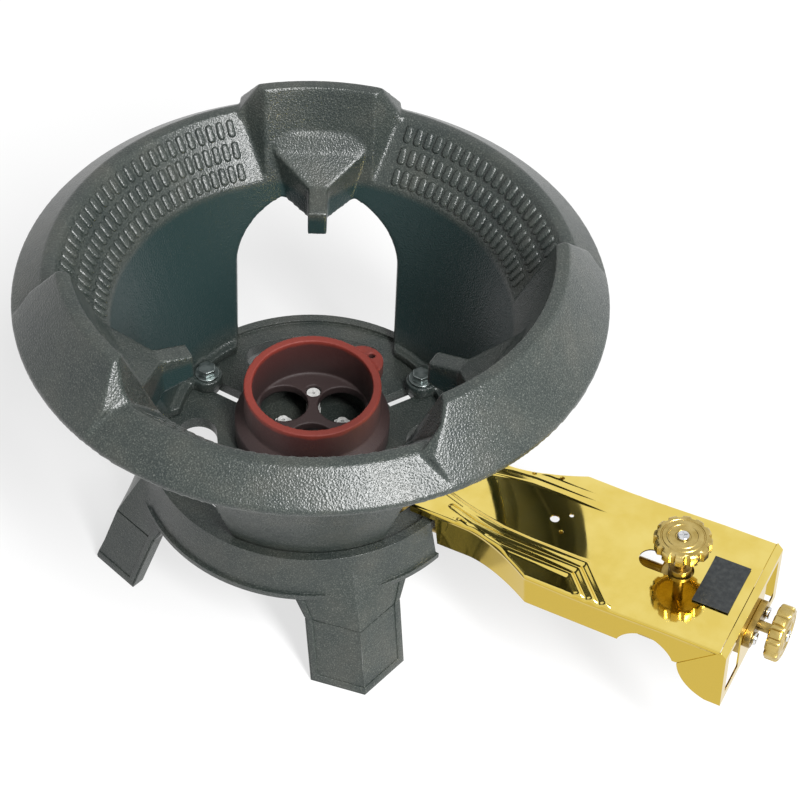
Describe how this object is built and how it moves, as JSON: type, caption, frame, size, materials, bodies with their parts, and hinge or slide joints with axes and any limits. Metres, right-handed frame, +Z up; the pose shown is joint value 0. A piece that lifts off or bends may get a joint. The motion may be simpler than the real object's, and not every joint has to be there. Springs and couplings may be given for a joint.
{
  "type": "high pressure gas burner",
  "caption": "Cast-iron gas burner: pot ring with raised rests on a legged base, cup burner, and a valve arm with screw knobs under a pressed gold cover.",
  "frame": {"origin": "on the floor under the middle of the whole part", "axes": "+Z up, +X from the burner along the valve arm to the end knob"},
  "size_m": [0.4736, 0.33, 0.244],
  "materials": {
    "iron_paint": "hammered paint",
    "red_oxide": "matt primer",
    "zinc": "zinc plated",
    "raw_brass": "machined",
    "knob_brass": "cast and plated",
    "gold_sheet": "mirror lacquer",
    "chrome": "polished",
    "black_plate": "satin black",
    "packing": "graphite",
    "seal": "matt"
  },
  "bodies": {
    "frame": {"pot_ring": "iron_paint", "base_casting": "iron_paint", "gas_manifold": "iron_paint", "burner_cup": "red_oxide", "ring_bolts": "zinc", "ring_washers": "zinc", "ring_nuts": "zinc", "cup_bolts": "zinc", "main_jets": "zinc", "pilot_jet": "zinc", "main_gas_pipe": "raw_brass", "pilot_gas_pipe": "raw_brass", "valve_body": "raw_brass", "hose_barb": "raw_brass", "top_packing_nut": "raw_brass", "end_gland": "raw_brass", "valve_cover": "gold_sheet", "end_plate": "gold_sheet", "gland_screws": "chrome", "label_plate": "black_plate", "top_packing": "packing", "end_packing": "packing", "barb_seal": "seal"},
    "top_needle_body": {"top_needle": "raw_brass"},
    "top_knob_body": {"top_stem": "raw_brass", "top_knob": "knob_brass", "top_knob_disc": "knob_brass", "top_knob_screw": "chrome"},
    "end_needle_body": {"end_needle": "raw_brass"},
    "end_knob_body": {"end_stem": "raw_brass", "end_knob": "knob_brass", "end_knob_disc": "knob_brass", "end_knob_screw": "chrome"}
  },
  "joints": [
    {"name": "top_needle_lift", "type": "slide", "parent": "frame", "child": "top_needle_body", "axis": [-0.1132, 0, 0.9936], "range_m": [0, 0.00151]},
    {"name": "top_knob_turn", "type": "hinge", "parent": "top_needle_body", "child": "top_knob_body", "pos_m": [0.168, 0, 0.1086], "axis": [-0.1132, 0, 0.9936], "range_deg": [0, 540]},
    {"name": "end_needle_lift", "type": "slide", "parent": "frame", "child": "end_needle_body", "axis": [0.9936, 0, 0.1132], "range_m": [0, 0.00151]},
    {"name": "end_knob_turn", "type": "hinge", "parent": "end_needle_body", "child": "end_knob_body", "pos_m": [0.21326, 0, 0.09564], "axis": [0.9936, 0, 0.1132], "range_deg": [0, 540]}
  ],
  "couplings": [
    {"joint": "top_needle_lift", "follows": "top_knob_turn", "m_per_rad": 0.00015915},
    {"joint": "end_needle_lift", "follows": "end_knob_turn", "m_per_rad": 0.00015915}
  ]
}
